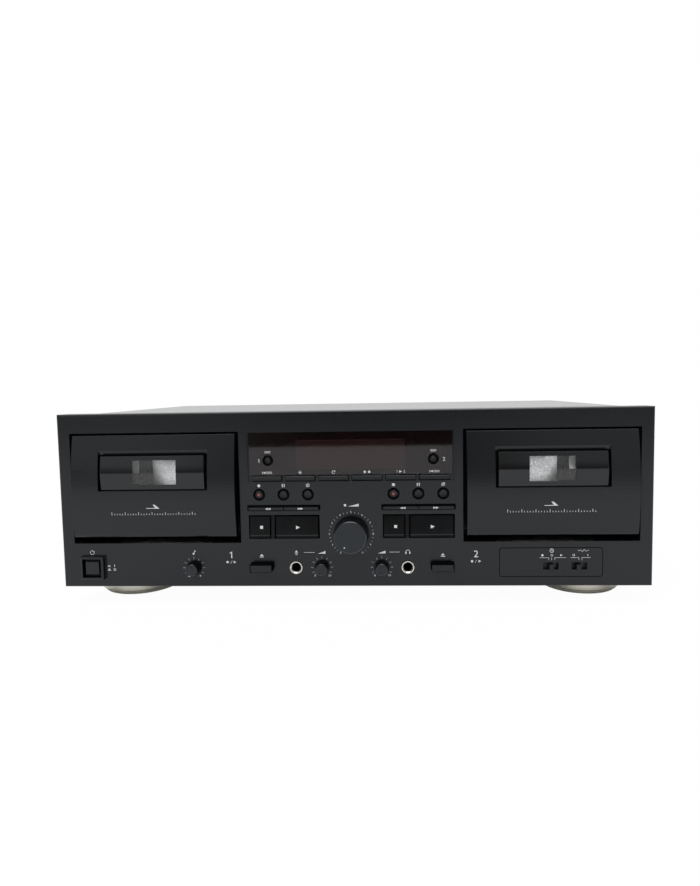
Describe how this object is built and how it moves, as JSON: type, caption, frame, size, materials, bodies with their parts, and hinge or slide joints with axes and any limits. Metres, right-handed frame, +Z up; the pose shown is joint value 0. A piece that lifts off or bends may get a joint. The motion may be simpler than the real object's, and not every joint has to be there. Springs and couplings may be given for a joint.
{
  "type": "double cassette deck",
  "caption": "Flat hi-fi cabinet with two tilting cassette doors, a display and control block between them, level knobs and jacks, on round feet.",
  "frame": {"origin": "centre of the bounding box's floor: on the table, midway between the sides and between the knob's face and the rear sockets' tips", "axes": "+X to the right seen from the front, -Y is the front with the doors, +Z up"},
  "size_m": [0.435, 0.2854, 0.145],
  "materials": {
    "panel": "satin",
    "case": "satin",
    "zinc": "satin",
    "foot": "satin",
    "screw": "satin",
    "smoke": "gloss",
    "board": "satin",
    "iron": "satin",
    "nickel": "gloss",
    "black": "matte",
    "pale": "satin",
    "steel": "satin",
    "key": "satin"
  },
  "bodies": {
    "cabinet": {"front_panel": "panel", "top_cover": "case", "chassis_tray": "zinc", "rear_panel": "case", "feet": "foot", "case_screws": "screw", "display_window": "smoke", "control_board": "board", "main_board": "board", "power_transformer": "iron", "front_jacks": "nickel", "rear_sockets": "nickel", "mains_inlet": "black", "transport_frames": "black", "motor_drives": "iron"},
    "door_1": {"door_front_1": "panel", "door_window_1": "smoke", "cassette_holder_1": "black"},
    "supply_spindle_1": {"supply_spindle_1": "pale"},
    "takeup_spindle_1": {"takeup_spindle_1": "pale"},
    "capstan_1": {"capstan_1": "steel"},
    "head_plate_1": {"head_plate_1": "steel"},
    "door_2": {"door_front_2": "panel", "door_window_2": "smoke", "cassette_holder_2": "black"},
    "supply_spindle_2": {"supply_spindle_2": "pale"},
    "takeup_spindle_2": {"takeup_spindle_2": "pale"},
    "capstan_2": {"capstan_2": "steel"},
    "head_plate_2": {"head_plate_2": "steel"},
    "power_button": {"power_button": "key"},
    "eject_button_1": {"eject_button_1": "key"},
    "record_button_1": {"record_button_1": "key"},
    "pause_button_1": {"pause_button_1": "key"},
    "mute_button_1": {"mute_button_1": "key"},
    "counter_button_1": {"counter_button_1": "key"},
    "rewind_button_1": {"rewind_button_1": "key"},
    "forward_button_1": {"forward_button_1": "key"},
    "stop_button_1": {"stop_button_1": "key"},
    "play_button_1": {"play_button_1": "key"},
    "eject_button_2": {"eject_button_2": "key"},
    "record_button_2": {"record_button_2": "key"},
    "pause_button_2": {"pause_button_2": "key"},
    "mute_button_2": {"mute_button_2": "key"},
    "counter_button_2": {"counter_button_2": "key"},
    "rewind_button_2": {"rewind_button_2": "key"},
    "forward_button_2": {"forward_button_2": "key"},
    "stop_button_2": {"stop_button_2": "key"},
    "play_button_2": {"play_button_2": "key"},
    "zero_button_1": {"zero_button_1": "key"},
    "dimmer_button": {"dimmer_button": "key"},
    "repeat_button": {"repeat_button": "key"},
    "parallel_button": {"parallel_button": "key"},
    "dub_button": {"dub_button": "key"},
    "zero_button_2": {"zero_button_2": "key"},
    "record_level_knob": {"record_level_knob": "key"},
    "mic_level_knob": {"mic_level_knob": "key"},
    "phones_level_knob": {"phones_level_knob": "key"},
    "pitch_knob": {"pitch_knob": "key"},
    "timer_slider": {"timer_slider": "key"},
    "noise_slider": {"noise_slider": "key"}
  },
  "joints": [
    {"name": "door_1_swing", "type": "hinge", "parent": "cabinet", "child": "door_1", "pos_m": [-0.145, -0.12525, 0.057], "axis": [1, 0, 0], "range_deg": [0, 35]},
    {"name": "supply_spindle_1_move", "type": "hinge", "parent": "cabinet", "child": "supply_spindle_1", "pos_m": [-0.16625, -0.11175, 0.098], "axis": [0, 1, 0], "continuous": true},
    {"name": "takeup_spindle_1_move", "type": "hinge", "parent": "cabinet", "child": "takeup_spindle_1", "pos_m": [-0.12375, -0.11175, 0.098], "axis": [0, 1, 0], "continuous": true},
    {"name": "capstan_1_move", "type": "hinge", "parent": "cabinet", "child": "capstan_1", "pos_m": [-0.122, -0.11175, 0.0722], "axis": [0, 1, 0], "continuous": true},
    {"name": "head_plate_1_move", "type": "slide", "parent": "cabinet", "child": "head_plate_1", "axis": [0, 0, 1], "range_m": [0, 0.0045]},
    {"name": "door_2_swing", "type": "hinge", "parent": "cabinet", "child": "door_2", "pos_m": [0.145, -0.12525, 0.057], "axis": [1, 0, 0], "range_deg": [0, 35]},
    {"name": "supply_spindle_2_move", "type": "hinge", "parent": "cabinet", "child": "supply_spindle_2", "pos_m": [0.12375, -0.11175, 0.098], "axis": [0, 1, 0], "continuous": true},
    {"name": "takeup_spindle_2_move", "type": "hinge", "parent": "cabinet", "child": "takeup_spindle_2", "pos_m": [0.16625, -0.11175, 0.098], "axis": [0, 1, 0], "continuous": true},
    {"name": "capstan_2_move", "type": "hinge", "parent": "cabinet", "child": "capstan_2", "pos_m": [0.168, -0.11175, 0.0722], "axis": [0, 1, 0], "continuous": true},
    {"name": "head_plate_2_move", "type": "slide", "parent": "cabinet", "child": "head_plate_2", "axis": [0, 0, 1], "range_m": [0, 0.0045]},
    {"name": "power_button_move", "type": "slide", "parent": "cabinet", "child": "power_button", "axis": [0, 1, 0], "range_m": [0, 0.004], "stiffness_N_per_m": 100, "springref_m": -0.001},
    {"name": "eject_button_1_move", "type": "slide", "parent": "cabinet", "child": "eject_button_1", "axis": [0, 1, 0], "range_m": [0, 0.003], "stiffness_N_per_m": 100, "springref_m": -0.001},
    {"name": "record_button_1_move", "type": "slide", "parent": "cabinet", "child": "record_button_1", "axis": [0, 1, 0], "range_m": [0, 0.0012], "stiffness_N_per_m": 100, "springref_m": -0.001},
    {"name": "pause_button_1_move", "type": "slide", "parent": "cabinet", "child": "pause_button_1", "axis": [0, 1, 0], "range_m": [0, 0.0012], "stiffness_N_per_m": 100, "springref_m": -0.001},
    {"name": "mute_button_1_move", "type": "slide", "parent": "cabinet", "child": "mute_button_1", "axis": [0, 1, 0], "range_m": [0, 0.0012], "stiffness_N_per_m": 100, "springref_m": -0.001},
    {"name": "counter_button_1_move", "type": "slide", "parent": "cabinet", "child": "counter_button_1", "axis": [0, 1, 0], "range_m": [0, 0.0012], "stiffness_N_per_m": 100, "springref_m": -0.001},
    {"name": "rewind_button_1_move", "type": "slide", "parent": "cabinet", "child": "rewind_button_1", "axis": [0, 1, 0], "range_m": [0, 0.0012], "stiffness_N_per_m": 100, "springref_m": -0.001},
    {"name": "forward_button_1_move", "type": "slide", "parent": "cabinet", "child": "forward_button_1", "axis": [0, 1, 0], "range_m": [0, 0.0012], "stiffness_N_per_m": 100, "springref_m": -0.001},
    {"name": "stop_button_1_move", "type": "slide", "parent": "cabinet", "child": "stop_button_1", "axis": [0, 1, 0], "range_m": [0, 0.0012], "stiffness_N_per_m": 100, "springref_m": -0.001},
    {"name": "play_button_1_move", "type": "slide", "parent": "cabinet", "child": "play_button_1", "axis": [0, 1, 0], "range_m": [0, 0.0012], "stiffness_N_per_m": 100, "springref_m": -0.001},
    {"name": "eject_button_2_move", "type": "slide", "parent": "cabinet", "child": "eject_button_2", "axis": [0, 1, 0], "range_m": [0, 0.003], "stiffness_N_per_m": 100, "springref_m": -0.001},
    {"name": "record_button_2_move", "type": "slide", "parent": "cabinet", "child": "record_button_2", "axis": [0, 1, 0], "range_m": [0, 0.0012], "stiffness_N_per_m": 100, "springref_m": -0.001},
    {"name": "pause_button_2_move", "type": "slide", "parent": "cabinet", "child": "pause_button_2", "axis": [0, 1, 0], "range_m": [0, 0.0012], "stiffness_N_per_m": 100, "springref_m": -0.001},
    {"name": "mute_button_2_move", "type": "slide", "parent": "cabinet", "child": "mute_button_2", "axis": [0, 1, 0], "range_m": [0, 0.0012], "stiffness_N_per_m": 100, "springref_m": -0.001},
    {"name": "counter_button_2_move", "type": "slide", "parent": "cabinet", "child": "counter_button_2", "axis": [0, 1, 0], "range_m": [0, 0.0012], "stiffness_N_per_m": 100, "springref_m": -0.001},
    {"name": "rewind_button_2_move", "type": "slide", "parent": "cabinet", "child": "rewind_button_2", "axis": [0, 1, 0], "range_m": [0, 0.0012], "stiffness_N_per_m": 100, "springref_m": -0.001},
    {"name": "forward_button_2_move", "type": "slide", "parent": "cabinet", "child": "forward_button_2", "axis": [0, 1, 0], "range_m": [0, 0.0012], "stiffness_N_per_m": 100, "springref_m": -0.001},
    {"name": "stop_button_2_move", "type": "slide", "parent": "cabinet", "child": "stop_button_2", "axis": [0, 1, 0], "range_m": [0, 0.0012], "stiffness_N_per_m": 100, "springref_m": -0.001},
    {"name": "play_button_2_move", "type": "slide", "parent": "cabinet", "child": "play_button_2", "axis": [0, 1, 0], "range_m": [0, 0.0012], "stiffness_N_per_m": 100, "springref_m": -0.001},
    {"name": "zero_button_1_move", "type": "slide", "parent": "cabinet", "child": "zero_button_1", "axis": [0, 1, 0], "range_m": [0, 0.0012], "stiffness_N_per_m": 100, "springref_m": -0.001},
    {"name": "dimmer_button_move", "type": "slide", "parent": "cabinet", "child": "dimmer_button", "axis": [0, 1, 0], "range_m": [0, 0.0012], "stiffness_N_per_m": 100, "springref_m": -0.001},
    {"name": "repeat_button_move", "type": "slide", "parent": "cabinet", "child": "repeat_button", "axis": [0, 1, 0], "range_m": [0, 0.0012], "stiffness_N_per_m": 100, "springref_m": -0.001},
    {"name": "parallel_button_move", "type": "slide", "parent": "cabinet", "child": "parallel_button", "axis": [0, 1, 0], "range_m": [0, 0.0012], "stiffness_N_per_m": 100, "springref_m": -0.001},
    {"name": "dub_button_move", "type": "slide", "parent": "cabinet", "child": "dub_button", "axis": [0, 1, 0], "range_m": [0, 0.0012], "stiffness_N_per_m": 100, "springref_m": -0.001},
    {"name": "zero_button_2_move", "type": "slide", "parent": "cabinet", "child": "zero_button_2", "axis": [0, 1, 0], "range_m": [0, 0.0012], "stiffness_N_per_m": 100, "springref_m": -0.001},
    {"name": "record_level_knob_move", "type": "hinge", "parent": "cabinet", "child": "record_level_knob", "pos_m": [0, -0.13075, 0.0545], "axis": [0, 1, 0], "range_deg": [0, 300]},
    {"name": "mic_level_knob_move", "type": "hinge", "parent": "cabinet", "child": "mic_level_knob", "pos_m": [-0.02205, -0.13075, 0.0295], "axis": [0, 1, 0], "range_deg": [0, 300]},
    {"name": "phones_level_knob_move", "type": "hinge", "parent": "cabinet", "child": "phones_level_knob", "pos_m": [0.02205, -0.13075, 0.0295], "axis": [0, 1, 0], "range_deg": [0, 300]},
    {"name": "pitch_knob_move", "type": "hinge", "parent": "cabinet", "child": "pitch_knob", "pos_m": [-0.1179, -0.13075, 0.0295], "axis": [0, 1, 0], "range_deg": [-150, 150]},
    {"name": "timer_slider_move", "type": "slide", "parent": "cabinet", "child": "timer_slider", "axis": [1, 0, 0], "range_m": [-0.002, 0.002]},
    {"name": "noise_slider_move", "type": "slide", "parent": "cabinet", "child": "noise_slider", "axis": [1, 0, 0], "range_m": [0, 0.002]}
  ]
}
